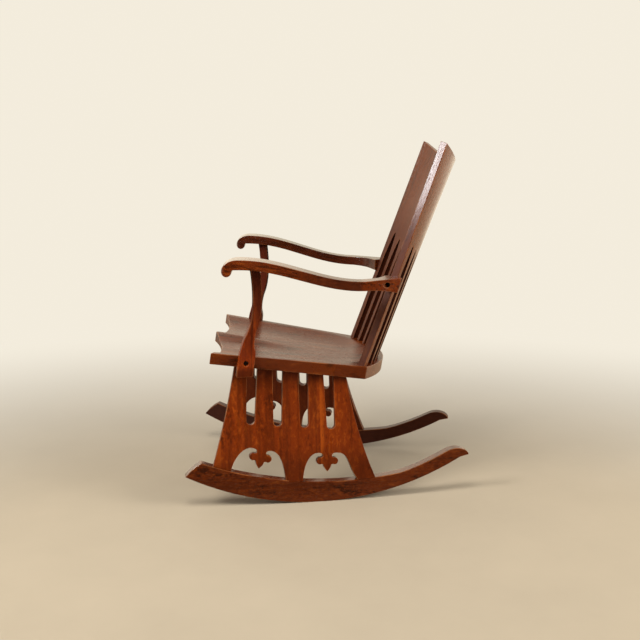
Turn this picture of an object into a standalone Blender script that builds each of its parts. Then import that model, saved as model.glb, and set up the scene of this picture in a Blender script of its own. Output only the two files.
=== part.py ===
"""Mission rocking chair: saddled seat, bent slatted back, S-curved arms, pierced sides on rockers."""
import math

import bmesh
import bpy
from mathutils import Matrix, Vector

# Clearance left at every seat and around every dowel
JOINT_GAP = 0.0003

# Sides: toe-in seen from above, outer face past the middle of the seat's edge
SIDE_TOE = math.radians(9.0)
SIDE_SPLAY = 0.00577

# Rockers: a round sole with short flats, one flat on the floor at rest
ROCKER_THICK = 0.027
ROCKER_RADIUS = 0.774
ROCKER_REST = -0.022
ROCKER_REST_FLAT = 0.056
ROCKER_FLAT = 0.036
ROCKER_FRONT = -0.3886
ROCKER_REAR = 0.3924
ROCKER_SNOUT = 0.042
ROCKER_WAIST_U = 0.030
ROCKER_WAIST_Z = 0.0553
ROCKER_TOP_EASE = 0.241
TAIL_DEPTH = 0.035
TAIL_TIP_RISE = 0.012
TAIL_NOSE = 0.066
TAIL_SOLE_END = 0.025

# Side panels: lean inward, edges and feet along the panel
PANEL_THICK = 0.020
PANEL_LEAN = math.radians(8.42)
PANEL_BASE_Z = 0.060
PANEL_TOP_FRONT = -0.250
PANEL_TOP_REAR = 0.0494
PANEL_FRONT_HOLLOW = 0.004
PANEL_REAR_HOLLOW = 0.009
FRONT_FOOT = (-0.3138, -0.2679)
MIDDLE_FOOT = (-0.1206, -0.0743)
REAR_FOOT = (0.0771, 0.1263)
SLOT_COUNT = 4
SLOT_TOP_START = -0.2025
SLOT_TOP_PITCH = 0.0670
SLOT_LOW_START = -0.2120
SLOT_LOW_PITCH = 0.0726
SLOT_LOW_V = 0.161
SLOT_LOW_FALL = 0.0075
SLOT_TOP_HALF = 0.0148
SLOT_LOW_RADIUS = 0.0115

# Trefoils that hang in the arches: place along the panel and height over the rocker, then their own sizes
FRONT_TREFOIL = (-0.1877, 0.0519)
REAR_TREFOIL = (-0.0063, 0.0566)
LOBE_SPREAD = 0.0200
LOBE_RADIUS = 0.0096
LEAF_HALF = 0.0108
LEAF_DROP = 0.0286
HOOK_SPREAD = 0.0156
HOOK_RISE = 0.0138
HOOK_RADIUS = 0.0036
CROWN_SPREAD = 0.0260
CROWN_RISE = 0.0222

# Seat: underside at the front corners, then sizes in the plane of the board
SEAT_Y = -0.3188
SEAT_Z = 0.3914
SEAT_TILT = math.radians(8.475)
SEAT_FRONT_HALF = 0.2751
SEAT_REAR_HALF = 0.1968
SEAT_SIDE = 0.4173
SEAT_BOW = 0.0605
SEAT_CUSP = 0.009
SEAT_SCALLOP = 0.0245
SEAT_FRONT_THICK = 0.030
SEAT_REAR_THICK = 0.035
SCOOP_DEPTH = 0.011
SCOOP_X = 0.130
SCOOP_S = 0.063
SCOOP_TURN = math.radians(12.0)
SCOOP_SIZE = (0.215, 0.560, 0.060)

# Back: a board bent about its height, leaning rearward
BACK_S = 0.393
BACK_LEAN = math.radians(19.4)
BACK_THICK = 0.020
BACK_HEIGHT = 0.601
BACK_TOP_DIP = 0.029
BACK_LOW_HALF = 0.181
BACK_TOP_HALF = 0.167
BACK_LOW_RADIUS = 0.365
BACK_TOP_RADIUS = 0.271
BACK_TENON = 0.014
BACK_SLOTS = 10
BACK_SLOT_PITCH = 0.189
BACK_SLOT_WIDTH = 0.026
BACK_SLOT_TOP = 0.323
BACK_SLOT_FAN = 0.038

# Arms: S-curve seen from the side, outer edge and width seen from above
ARM_THICK = 0.0250
ARM_FRONT_Y = -0.2802
ARM_PEAK_Y = -0.240
ARM_RUN = 0.325
ARM_FRONT_TOP = 0.671
ARM_REAR_TOP = 0.6095
ARM_END_DROP = 0.039
ARM_END_RAKE = 0.012
ARM_LAP = 0.033
ARM_OVERHANG = 0.0629
ARM_FRONT_WIDTH = 0.070
ARM_ELBOW = (0.278, 0.086)
ARM_ELBOW_WIDTH = 0.042
ARM_CORNER = 0.014
ARM_END_FACET = (0.033, 0.030)
BULB_RADIUS = 0.0133
BULB_DROP = 0.0290

# Arm posts: lapped on the seat's sides, leaning outward
POST_THICK = 0.0205
POST_WIDTH = 0.0244
POST_S = 0.0777
POST_LEAN = math.radians(6.4)
POST_COVER = 0.0189
POST_FOOT = 0.040
POST_DOWEL_U = 0.0360

# Dowels and screws
DOWEL_RADIUS = 0.00475
FINGER_DOWEL = (0.022, 0.014)
FOOT_DOWEL = (0.024, 0.020)
ARM_DOWEL = (0.026, 0.012)
HEAD_RADIUS = 0.0054
HEAD_THICK = 0.0030
SHANK_RADIUS = 0.0022
BORE_RADIUS = 0.0066
POST_SCREW_U = 0.0138
POST_SCREW_SINK = 0.0085
POST_SCREW_LENGTH = 0.042
ARM_SCREW_SINK = 0.020
ARM_SCREW_DROP = 0.0150
ARM_SCREW_EDGE = (0.006, 0.008)
ARM_SCREW_TURN = math.radians(15.95)
ARM_SCREW_LENGTH = 0.052
ARM_SCREW_HOLD = 0.018

WOOD = (0.150, 0.045, 0.018)
DOWEL_WOOD = (0.400, 0.240, 0.110)
STEEL = (0.180, 0.160, 0.140)

parts = None
cutters = None


# Outlines
def bezier(p0, p1, p2, p3, count):
    """Points after p0 up to p3 on a cubic curve."""
    points = []
    for i in range(1, count + 1):
        t = i / count
        k = (1 - t) ** 3, 3 * t * (1 - t) ** 2, 3 * t * t * (1 - t), t ** 3
        points.append(tuple(sum(w * p[a] for w, p in zip(k, (p0, p1, p2, p3))) for a in (0, 1)))
    return points


def arc(centre, radius, start, end, count):
    """Points on an arc, angles in degrees."""
    angles = (math.radians(start + (end - start) * i / count) for i in range(count + 1))
    return [(centre[0] + radius * math.cos(a), centre[1] + radius * math.sin(a)) for a in angles]


def bow(p0, p1, rise, count):
    """Points from p0 to p1 on a shallow curve that stands off the chord to the left by rise."""
    dx, dy = p1[0] - p0[0], p1[1] - p0[1]
    length = math.hypot(dx, dy)
    points = []
    for i in range(count + 1):
        t = i / count
        lift = 4 * rise * t * (1 - t) / length
        points.append((p0[0] + dx * t - dy * lift, p0[1] + dy * t + dx * lift))
    return points


# Scene helpers
def plate(outline, thickness):
    """A flat board with the given outline, centred on its own plane."""
    curve = bpy.data.curves.new("outline", "CURVE")
    curve.dimensions = "2D"
    curve.fill_mode = "BOTH"
    curve.extrude = thickness / 2
    spline = curve.splines.new("POLY")
    spline.points.add(len(outline) - 1)
    for point, (x, y) in zip(spline.points, outline):
        point.co = (x, y, 0, 1)
    spline.use_cyclic_u = True
    drawn = bpy.data.objects.new("outline", curve)
    cutters.objects.link(drawn)
    graph = bpy.context.evaluated_depsgraph_get()
    mesh = bpy.data.meshes.new_from_object(drawn.evaluated_get(graph))
    bpy.data.objects.remove(drawn)
    bpy.data.curves.remove(curve)
    shape = bmesh.new()
    shape.from_mesh(mesh)
    bmesh.ops.remove_doubles(shape, verts=shape.verts, dist=0.00001)
    shape.to_mesh(mesh)
    shape.free()
    return mesh


def solid(build):
    """A mesh filled by one bmesh function."""
    mesh = bpy.data.meshes.new("solid")
    shape = bmesh.new()
    build(shape)
    shape.to_mesh(mesh)
    shape.free()
    return mesh


def rod(radius, low, high):
    """A round rod along Z from low to high."""
    place = Matrix.Translation((0, 0, (low + high) / 2))
    return solid(lambda shape: bmesh.ops.create_cone(
        shape, cap_ends=True, segments=20, radius1=radius, radius2=radius, depth=high - low, matrix=place))


def block(low, high):
    """A box between two corners."""
    size = [b - a for a, b in zip(low, high)]
    middle = [(a + b) / 2 for a, b in zip(low, high)]
    place = Matrix.Translation(middle) @ Matrix.Diagonal((*size, 1))
    return solid(lambda shape: bmesh.ops.create_cube(shape, size=1, matrix=place))


def frame(origin, x_axis, y_axis):
    """A placing with the given origin and first two axes."""
    x_axis, y_axis = Vector(x_axis).normalized(), Vector(y_axis).normalized()
    turn = Matrix((x_axis, y_axis, x_axis.cross(y_axis))).transposed().to_4x4()
    return Matrix.Translation(origin) @ turn


def along(origin, axis):
    """A placing with Z along the axis."""
    turn = Vector(axis).to_track_quat("Z", "Y").to_matrix().to_4x4()
    return Matrix.Translation(origin) @ turn


def add_part(name, mesh, place, colour=WOOD, rough=0.35, metal=0.0):
    """A named piece of the chair with its own material."""
    mesh.name = name
    material = bpy.data.materials.new(name)
    material.use_nodes = True
    surface = material.node_tree.nodes["Principled BSDF"]
    surface.inputs["Base Color"].default_value = (*colour, 1)
    surface.inputs["Roughness"].default_value = rough
    surface.inputs["Metallic"].default_value = metal
    mesh.materials.clear()
    mesh.materials.append(material)
    piece = bpy.data.objects.new(name, mesh)
    piece.matrix_world = place
    parts.objects.link(piece)
    return piece


def add_cutter(name, mesh, place):
    """A hidden shape that is only cut away from pieces."""
    cutter = bpy.data.objects.new(name, mesh)
    cutter.matrix_world = place
    cutter.hide_render = True
    cutter.display_type = "WIRE"
    cutters.objects.link(cutter)
    return cutter


def cut(piece, cutter, operation="DIFFERENCE"):
    """One exact Boolean on a piece."""
    step = piece.modifiers.new(cutter.name, "BOOLEAN")
    step.operation = operation
    step.solver = "EXACT"
    step.object = cutter


def name_of(side):
    return "left" if side > 0 else "right"


# Rockers
def side_x():
    """Outer face of a side at mid depth."""
    return (SEAT_FRONT_HALF + SEAT_REAR_HALF) / 2 + SIDE_SPLAY


def rocker_top_radius():
    """The upper edge is flatter than the sole."""
    return ROCKER_RADIUS + ROCKER_TOP_EASE


def rocker_top(u):
    """Height of the rocker's upper edge, the tail included."""
    radius = rocker_top_radius()
    waist = ROCKER_WAIST_Z + radius - math.sqrt(radius ** 2 - (u - ROCKER_WAIST_U) ** 2)
    tail = ROCKER_RADIUS - math.sqrt((ROCKER_RADIUS - TAIL_DEPTH) ** 2 - (u - ROCKER_REST) ** 2)
    return max(waist, tail)


def rocker_outline():
    """Sole from front to rear, nose of the tail, upper edge back to the snout."""
    rest = math.asin(ROCKER_REST_FLAT / 2 / ROCKER_RADIUS)
    centre_z = ROCKER_RADIUS * math.cos(rest)
    first = math.asin((ROCKER_FRONT - ROCKER_REST) / ROCKER_RADIUS)
    last = math.asin((ROCKER_REAR - TAIL_SOLE_END - ROCKER_REST) / ROCKER_RADIUS)
    front_count = round((-rest - first) * ROCKER_RADIUS / ROCKER_FLAT)
    rear_count = round((last - rest) * ROCKER_RADIUS / ROCKER_FLAT)
    angles = [first + (-rest - first) * i / front_count for i in range(front_count + 1)]
    angles += [rest + (last - rest) * i / rear_count for i in range(rear_count + 1)]
    points = [(ROCKER_RADIUS * math.sin(a), -ROCKER_RADIUS * math.cos(a)) for a in angles]
    points = [(ROCKER_REST + u, centre_z + z) for u, z in points]
    snout = points[0]
    tip = (ROCKER_REAR, rocker_top(ROCKER_REAR - TAIL_NOSE) - TAIL_TIP_RISE)
    joint_u = ROCKER_REAR - TAIL_NOSE
    joint = (joint_u, rocker_top(joint_u))
    points.append(tip)
    points += bezier(tip, (tip[0] - 0.003, tip[1] + 0.018), (joint_u + 0.028, joint[1] + 0.0155), joint, 9)
    top_front = ROCKER_FRONT + ROCKER_SNOUT
    steps = 26
    for i in range(1, steps + 1):
        u = joint_u + (top_front - joint_u) * i / steps
        points.append((u, rocker_top(u)))
    points += bow(points[-1], snout, -0.003, 3)[1:-1]
    return points


def rocker_frame(side):
    return frame((side * side_x(), 0, 0), (-side * math.sin(SIDE_TOE), math.cos(SIDE_TOE), 0), (0, 0, 1))


def add_rockers():
    """Two vertical boards, and the shape that trims the panel feet to them."""
    above = [(ROCKER_FRONT + 0.02 * i, 0) for i in range(int((ROCKER_REAR - ROCKER_FRONT) / 0.02))]
    above = [(u, rocker_top(u) + JOINT_GAP) for u, _ in above]
    trim_outline = [(above[-1][0], -0.05), *reversed(above), (above[0][0], -0.05)]
    for side in (1, -1):
        place = rocker_frame(side) @ Matrix.Translation((0, 0, -side * ROCKER_THICK / 2))
        add_part(f"rocker_{name_of(side)}", plate(rocker_outline(), ROCKER_THICK), place)
        add_cutter(f"foot_trim_{name_of(side)}", plate(trim_outline, 0.14), place)


# Seat
def seat_frame():
    """Origin on the underside at the front, Y along the board to the rear."""
    return frame((0, SEAT_Y, SEAT_Z), (1, 0, 0), (0, math.cos(SEAT_TILT), -math.sin(SEAT_TILT)))


def seat_top_frame():
    """Origin on the upper face at the front; the board thickens to the rear."""
    rise = math.atan2(SEAT_REAR_THICK - SEAT_FRONT_THICK, SEAT_SIDE)
    lift = Matrix.Translation((0, 0, SEAT_FRONT_THICK))
    return seat_frame() @ lift @ Matrix.Rotation(rise, 4, "X")


def seat_half(s):
    """Half width of the board at a distance from the front."""
    return SEAT_FRONT_HALF + (SEAT_REAR_HALF - SEAT_FRONT_HALF) * s / SEAT_SIDE


def seat_outline(grow):
    """Two scallops in front, straight sides, bowed rear edge."""
    front, rear = SEAT_FRONT_HALF + grow, SEAT_REAR_HALF + grow
    points = bow((-front, 0), (0, -SEAT_CUSP), SEAT_SCALLOP, 14)
    points += bow((0, -SEAT_CUSP), (front, 0), SEAT_SCALLOP, 14)[1:]
    points += bow((rear, SEAT_SIDE), (-rear, SEAT_SIDE), -SEAT_BOW, 24)
    return points


def add_seat():
    """The saddled board, and the shapes other pieces are trimmed with."""
    blank = SEAT_REAR_THICK + 0.02
    lift = Matrix.Translation((0, 0, blank / 2))
    seat = add_part("seat", plate(seat_outline(0), blank), seat_frame() @ lift)
    above = add_cutter("seat_top_trim", block((-0.5, -0.3, 0), (0.5, 0.9, 0.1)), seat_top_frame())
    cut(seat, above)
    for side in (1, -1):
        ball = solid(lambda shape: bmesh.ops.create_uvsphere(shape, u_segments=40, v_segments=28, radius=1))
        place = Matrix.Translation((side * SCOOP_X, SCOOP_S, SCOOP_SIZE[2] - SCOOP_DEPTH))
        turn = Matrix.Rotation(side * SCOOP_TURN, 4, "Z") @ Matrix.Diagonal((*SCOOP_SIZE, 1))
        cut(seat, add_cutter(f"scoop_{name_of(side)}", ball, seat_top_frame() @ place @ turn))
    under = block((-0.5, -0.3, -JOINT_GAP), (0.5, 0.9, 0.15))
    add_cutter("finger_trim", under, seat_frame())
    deep = Matrix.Translation((0, 0, SEAT_FRONT_THICK / 2))
    add_cutter("seat_envelope", plate(seat_outline(JOINT_GAP), 0.3), seat_frame() @ deep)
    return seat


# Side panels
def panel_frame(side):
    """Outer face of a panel: X along it to the rear, Y up its lean."""
    outward = Vector((side * math.cos(SIDE_TOE), math.sin(SIDE_TOE), 0))
    up = Vector((0, 0, math.cos(PANEL_LEAN))) - outward * math.sin(PANEL_LEAN)
    run = (-side * math.sin(SIDE_TOE), math.cos(SIDE_TOE), 0)
    return frame((side * side_x(), 0, PANEL_BASE_Z), run, up)


def panel_middle(side):
    return panel_frame(side) @ Matrix.Translation((0, 0, -side * PANEL_THICK / 2))


def foot_v(u):
    """Where the panel meets the rocker's upper edge."""
    return (rocker_top(u) - PANEL_BASE_Z) / math.cos(PANEL_LEAN)


def finger_v(u):
    """Where the middle of the panel meets the seat's underside."""
    low, high = (seat_frame().inverted() @ panel_middle(1) @ Vector((u, v, 0)) for v in (0, 1))
    return low.z / (low.z - high.z)


def trefoil(centre_u, lift, sense):
    """Half of a hanging trefoil from the crown to the leaf's tip; sense -1 is its front half."""
    slope = (centre_u - ROCKER_WAIST_U) / rocker_top_radius()
    centre_v = foot_v(centre_u) + lift
    crown = (CROWN_SPREAD, CROWN_RISE)
    hook = (HOOK_SPREAD, HOOK_RISE)
    inner = (HOOK_SPREAD - HOOK_RADIUS, HOOK_RISE)
    shoulder = (LEAF_HALF, -LOBE_RADIUS * 1.02)
    points = [crown]
    points += bezier(crown, (crown[0] - 0.007, crown[1]), (inner[0], inner[1] + 0.006), inner, 5)
    points += arc(hook, HOOK_RADIUS, 180, 280, 4)[1:]
    points += arc((LOBE_SPREAD, 0), LOBE_RADIUS, 110, -120, 9)
    points.append(shoulder)
    points += bezier(
        shoulder, (LEAF_HALF * 0.95, -LEAF_DROP * 0.58), (LEAF_HALF * 0.48, -LEAF_DROP * 0.84), (0, -LEAF_DROP), 6)
    turned = []
    for x, y in points:
        x = sense * x
        turned.append((centre_u + x - y * slope, centre_v + y + x * slope))
    return turned


def arch(front_u, front_pull, rear_u, rear_pull, rear_reach, centre_u, lift):
    """An arch from its front foot to its rear foot with the trefoil hanging in it."""
    front, rear = trefoil(centre_u, lift, -1), trefoil(centre_u, lift, 1)
    slope = (centre_u - ROCKER_WAIST_U) / rocker_top_radius()
    foot, crown = (front_u, foot_v(front_u)), front[0]
    rise = crown[1] - foot[1]
    lead = (foot[0] + front_pull * rise, foot[1] + 0.55 * rise)
    points = [foot] + bezier(foot, lead, (crown[0] - 0.025, crown[1] - 0.025 * slope), crown, 9)
    points += front[1:]
    points += list(reversed(rear))[1:]
    foot, crown = (rear_u, foot_v(rear_u)), rear[0]
    rise = crown[1] - foot[1]
    lead = (foot[0] - rear_pull * rise, foot[1] + 0.5 * rise)
    points += bezier(crown, (crown[0] + rear_reach, crown[1] + rear_reach * slope), lead, foot, 9)
    return points


def panel_outline():
    """Front edge, fingers and slots, rear edge, feet and arches."""
    top = finger_v(PANEL_TOP_FRONT) + 0.03
    low = -0.03
    foot = (FRONT_FOOT[0], foot_v(FRONT_FOOT[0]))
    head = (PANEL_TOP_FRONT, finger_v(PANEL_TOP_FRONT))
    points = [(foot[0], low)] + bow(foot, head, -PANEL_FRONT_HOLLOW, 8) + [(head[0], top)]
    for i in range(SLOT_COUNT):
        head_u = SLOT_TOP_START + SLOT_TOP_PITCH * i
        low_u = SLOT_LOW_START + SLOT_LOW_PITCH * i
        low_v = SLOT_LOW_V - SLOT_LOW_FALL * i + SLOT_LOW_RADIUS
        points.append((head_u - SLOT_TOP_HALF, top))
        points += arc((low_u, low_v), SLOT_LOW_RADIUS, 180, 360, 10)
        points.append((head_u + SLOT_TOP_HALF, top))
    foot = (REAR_FOOT[1], foot_v(REAR_FOOT[1]))
    head = (PANEL_TOP_REAR, finger_v(PANEL_TOP_REAR))
    points += [(head[0], top)] + bow(head, foot, -PANEL_REAR_HOLLOW, 8) + [(foot[0], low)]
    points.append((REAR_FOOT[0], low))
    points += reversed(arch(MIDDLE_FOOT[1], 0.03, REAR_FOOT[0], 0.36, 0.036, *REAR_TREFOIL))
    points += [(MIDDLE_FOOT[1], low), (MIDDLE_FOOT[0], low)]
    points += reversed(arch(FRONT_FOOT[1], 0.14, MIDDLE_FOOT[0], 0.035, 0.022, *FRONT_TREFOIL))
    points.append((FRONT_FOOT[1], low))
    return points


def finger_middles():
    """Middles of the fingers along the panel."""
    edges = [PANEL_TOP_FRONT]
    for i in range(SLOT_COUNT):
        head_u = SLOT_TOP_START + SLOT_TOP_PITCH * i
        edges += [head_u - SLOT_TOP_HALF, head_u + SLOT_TOP_HALF]
    edges.append(PANEL_TOP_REAR)
    return [(a + b) / 2 for a, b in zip(edges[::2], edges[1::2])]


def add_dowel(name, place, lengths, pieces):
    """A dowel along Z that reaches back into one piece and forward into the other."""
    back, ahead = lengths
    add_part(name, rod(DOWEL_RADIUS, -back, ahead), place, DOWEL_WOOD, 0.7)
    hole = rod(DOWEL_RADIUS + JOINT_GAP, -back - JOINT_GAP, ahead + JOINT_GAP)
    hole = add_cutter(f"{name}_hole", hole, place)
    for piece in pieces:
        cut(piece, hole)


def add_panels(seat):
    """Pierced panels with dowels up into the seat and down into the rockers."""
    stand = Matrix.Rotation(math.radians(-90), 4, "X")
    for side in (1, -1):
        hand = name_of(side)
        middle = panel_middle(side)
        panel = add_part(f"side_panel_{hand}", plate(panel_outline(), PANEL_THICK), middle)
        cut(panel, cutters.objects[f"foot_trim_{hand}"])
        cut(panel, cutters.objects["finger_trim"])
        for i, u in enumerate(finger_middles()):
            place = middle @ Matrix.Translation((u, finger_v(u), 0)) @ stand
            add_dowel(f"finger_dowel_{hand}_{i + 1}", place, FINGER_DOWEL, (panel, seat))
        rocker = parts.objects[f"rocker_{hand}"]
        for i, (a, b) in enumerate((FRONT_FOOT, MIDDLE_FOOT, REAR_FOOT)):
            u = (a + b) / 2
            place = middle @ Matrix.Translation((u, foot_v(u), 0)) @ stand
            add_dowel(f"foot_dowel_{hand}_{i + 1}", place, FOOT_DOWEL[::-1], (panel, rocker))


# Back
def back_frame():
    """Origin on the seat between the back's front corners, Z up the lean."""
    origin = seat_top_frame() @ Vector((0, BACK_S, 0))
    return frame(origin, (1, 0, 0), (0, math.cos(BACK_LEAN), -math.sin(BACK_LEAN)))


def back_half(h):
    return BACK_LOW_HALF + (BACK_TOP_HALF - BACK_LOW_HALF) * h / BACK_HEIGHT


def back_radius(h):
    return BACK_LOW_RADIUS + (BACK_TOP_RADIUS - BACK_LOW_RADIUS) * h / BACK_HEIGHT


def back_point(q, h, depth):
    """A point of the bent board: q from -1 to 1 across it, depth behind its front face."""
    half, radius = back_half(h), back_radius(h)
    angle = q * math.asin(half / radius)
    y = (radius + depth) * math.cos(angle) - math.sqrt(radius ** 2 - half ** 2)
    return Vector(((radius + depth) * math.sin(angle), y, h))


def back_board(grow):
    """The bent board's middle surface, to be given its thickness."""
    rows = 8

    def build(shape):
        bmesh.ops.create_grid(shape, x_segments=26, y_segments=rows, size=1)
        low, high = -0.05, BACK_HEIGHT + BACK_TOP_DIP + 0.03
        for vert in shape.verts:
            h = low + (high - low) * (vert.co.y + 1) / 2
            q = vert.co.x * (1 + grow / back_half(h))
            vert.co = back_point(q, h, BACK_THICK / 2)

    return solid(build)


def add_back_cuts(board, grow):
    """Slots, dipped top edge and trimmed lower end of a back board."""
    place = back_frame()
    for i in range(BACK_SLOTS):
        q = BACK_SLOT_PITCH * (i - (BACK_SLOTS - 1) / 2)
        tip = BACK_SLOT_TOP + BACK_SLOT_FAN * q * q
        low, high = back_point(q, 0, BACK_THICK / 2), back_point(q, tip, BACK_THICK / 2)
        angle = q * math.asin(back_half(tip / 2) / back_radius(tip / 2))
        up = (high - low).normalized()
        across = up.cross(Vector((-math.sin(angle), -math.cos(angle), 0)))
        wide, tall = BACK_SLOT_WIDTH / 2 - grow, (high - low).length
        half = [(wide * 0.92, -0.06), (wide * 0.85, tall - 0.075), (wide * 0.62, tall - 0.040)]
        half += [(wide * 0.43, tall - 0.018), (wide * 0.27, tall - 0.006)]
        outline = half + [(0, tall)] + [(-x, y) for x, y in reversed(half)]
        spot = place @ frame(low, across, up)
        cut(board, add_cutter(f"{board.name}_slot_{i + 1}", plate(outline, 0.07), spot))
    wide = BACK_TOP_HALF + 0.05
    ends = BACK_HEIGHT + BACK_TOP_DIP * (wide / BACK_TOP_HALF) ** 2 + grow
    sag = BACK_TOP_DIP * (wide / BACK_TOP_HALF) ** 2
    edge = bow((-wide, ends), (wide, ends), -sag, 24)
    outline = edge + [(wide, ends + 0.1), (-wide, ends + 0.1)]
    stand = Matrix.Translation((0, 0.03, 0)) @ Matrix.Rotation(math.radians(90), 4, "X")
    cut(board, add_cutter(f"{board.name}_top", plate(outline, 0.3), place @ stand))
    below = block((-0.5, -0.3, -0.2), (0.5, 0.9, -BACK_TENON - grow))
    cut(board, add_cutter(f"{board.name}_end", below, seat_top_frame()))


def thicken(board, grow):
    step = board.modifiers.new("thickness", "SOLIDIFY")
    step.thickness = BACK_THICK + 2 * grow
    step.offset = 0
    step.use_even_offset = True


def add_back(seat):
    """The slatted back with its tenons in mortises of the seat."""
    back = add_part("back_panel", back_board(0), back_frame())
    thicken(back, 0)
    add_back_cuts(back, 0)
    space = add_cutter("back_space", back_board(JOINT_GAP), back_frame())
    thicken(space, JOINT_GAP)
    add_back_cuts(space, JOINT_GAP)
    cut(seat, space)


# Arms and posts
def arm_top(y):
    """Height of the arm's S-curved upper face."""
    t = min(max((y - ARM_PEAK_Y) / ARM_RUN, 0), 1)
    return ARM_REAR_TOP + (ARM_FRONT_TOP - ARM_REAR_TOP) * (1 + math.cos(math.pi * t)) / 2


def back_corner():
    """The back's front corner where the arm meets it."""
    low, high = (back_frame() @ back_point(1, h, 0) for h in (0, BACK_HEIGHT))
    t = (ARM_REAR_TOP - ARM_END_DROP / 2 - low.z) / (high.z - low.z)
    return low.lerp(high, t)


def arm_profile():
    """The arm from its side: rounded brow, bulb, underside, end cut, upper face."""
    end = back_corner().y + ARM_LAP
    bulb = (ARM_FRONT_Y + BULB_RADIUS, ARM_FRONT_TOP - BULB_DROP)
    brow = ARM_PEAK_Y - ARM_FRONT_Y
    quarter = arc((0, 0), 1, 90, 180, 11)[:-1]
    points = [(ARM_PEAK_Y + brow * u, bulb[1] + BULB_DROP * v) for u, v in quarter]
    points += arc(bulb, BULB_RADIUS, 180, 360, 18)
    start = bulb[0] + BULB_RADIUS + 0.001
    elbow = ARM_ELBOW[1]
    for i in range(19):
        y = start + (elbow - start) * i / 18
        points.append((y, arm_top(y) - ARM_THICK))
    low = (end - ARM_END_RAKE, ARM_REAR_TOP - ARM_END_DROP)
    points += bow(points[-1], low, 0.003, 4)[1:]
    points.append((end, ARM_REAR_TOP))
    for i in range(24):
        y = elbow + 0.02 + (ARM_PEAK_Y - elbow - 0.02) * i / 24
        points.append((y, arm_top(y)))
    return points


def arm_plan():
    """The left arm from above: inner edge, rounded front, outer edge, elbow and rear end."""
    corner = back_corner()
    outer, r = SEAT_FRONT_HALF + ARM_OVERHANG, ARM_CORNER
    inner = outer - ARM_FRONT_WIDTH
    front = ARM_FRONT_Y
    points = arc((inner + r, front + r), r, 180, 270, 8) + arc((outer - r, front + r), r, 270, 360, 8)
    bend = (outer - 0.012, front + 0.12)
    points += bezier(points[-1], bend, (bend[0] - 0.016, bend[1] + 0.10), ARM_ELBOW, 10)
    points.append((corner.x + 0.037, corner.y + 0.034))
    points.append((corner.x + 0.008, corner.y + 0.030))
    points.append((corner.x - 0.010, corner.y - 0.007))
    facet = (corner.x + ARM_END_FACET[0], corner.y - ARM_END_FACET[1])
    points.append(facet)
    inside = (ARM_ELBOW[0] - ARM_ELBOW_WIDTH, ARM_ELBOW[1] - 0.002)
    points += bezier(facet, (facet[0] + 0.014, facet[1] - 0.022), inside,
                     (inside[0] + 0.002, inside[1] - 0.03), 6)
    return points


def post_frame(side):
    """Outer face of a post: X along the seat's side to the rear, Y up its lean."""
    fall = (SEAT_FRONT_HALF - SEAT_REAR_HALF) / (SEAT_SIDE * math.cos(SEAT_TILT))
    toe = math.atan(fall)
    outward = Vector((side * math.cos(toe), math.sin(toe), 0))
    along_seat = Vector((-side * math.sin(toe), math.cos(toe), 0))
    up = Vector((0, 0, math.cos(POST_LEAN))) + outward * math.sin(POST_LEAN)
    edge = seat_frame() @ Vector((side * seat_half(POST_S), POST_S, SEAT_FRONT_THICK / 2))
    return frame(edge + outward * POST_COVER, along_seat, up)


def post_top_v(u):
    """Where a post's middle meets the arm's underside."""
    place = post_frame(1) @ Matrix.Translation((0, 0, -POST_THICK / 2))
    v = 0.25
    for _ in range(8):
        point = place @ Vector((u, v, 0))
        v += arm_top(point.y) - ARM_THICK - point.z
    return v


def post_outline():
    """Swept front edge, foot, swept rear edge with a small ear at the seat."""
    high = post_top_v(POST_DOWEL_U)
    w = POST_WIDTH

    def sweep(edge, turns, end, count):
        """One swept stretch; a point is given in widths along and a share of the height up."""
        return bezier(edge[-1], *[(a * w, b * high) for a, b in (*turns, end)], count)

    foot = -POST_FOOT / high
    front = [(0.90 * w, high + 0.02), (0.975 * w, high)]
    front += sweep(front, ((1.332, 0.780), (1.516, 0.520)), (0.684, 0.328), 8)
    front += sweep(front, ((0.102, 0.216), (-0.348, 0.020)), (-0.484, foot), 8)
    rear = [(1.926 * w, high + 0.02), (1.975 * w, high)]
    rear += sweep(rear, ((2.295, 0.780), (2.459, 0.540)), (1.684, 0.356), 8)
    rear += sweep(rear, ((1.537, 0.300), (1.443, 0.240)), (1.455, 0.192), 4)
    rear += sweep(rear, ((1.467, 0.152), (1.619, 0.136)), (1.602, 0.088), 4)
    rear += sweep(rear, ((1.578, 0.032), (1.414, -0.048)), (1.311, foot), 5)
    return front + list(reversed(rear))


def add_screw(name, place, length, sink, pieces):
    """A slotted screw along Z, its head toward +Z, in a counterbored hole."""
    mesh = bpy.data.meshes.new(name)
    tip = -length
    profile = [(0, 0), (HEAD_RADIUS, 0), (HEAD_RADIUS, -HEAD_THICK), (SHANK_RADIUS, -HEAD_THICK)]
    profile += [(SHANK_RADIUS, tip + 0.006), (0, tip)]
    mesh.from_pydata([(x, 0, z) for x, z in profile], [(i, i + 1) for i in range(5)], [])
    screw = add_part(name, mesh, place, STEEL, 0.45, 0.9)
    turn = screw.modifiers.new("turned", "SCREW")
    turn.axis = "Z"
    turn.steps = 20
    turn.render_steps = 20
    turn.use_merge_vertices = True
    turn.merge_threshold = 0.00001
    slot = block((-0.01, -0.0006, -0.0012), (0.01, 0.0006, 0.01))
    cut(screw, add_cutter(f"{name}_slot", slot, place))
    bore = add_cutter(f"{name}_bore", rod(BORE_RADIUS, -HEAD_THICK - JOINT_GAP, sink + 0.03), place)
    hole = add_cutter(f"{name}_hole", rod(SHANK_RADIUS + JOINT_GAP, tip - JOINT_GAP, 0), place)
    cut(pieces[0], bore)
    for piece in pieces:
        cut(piece, hole)


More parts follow.
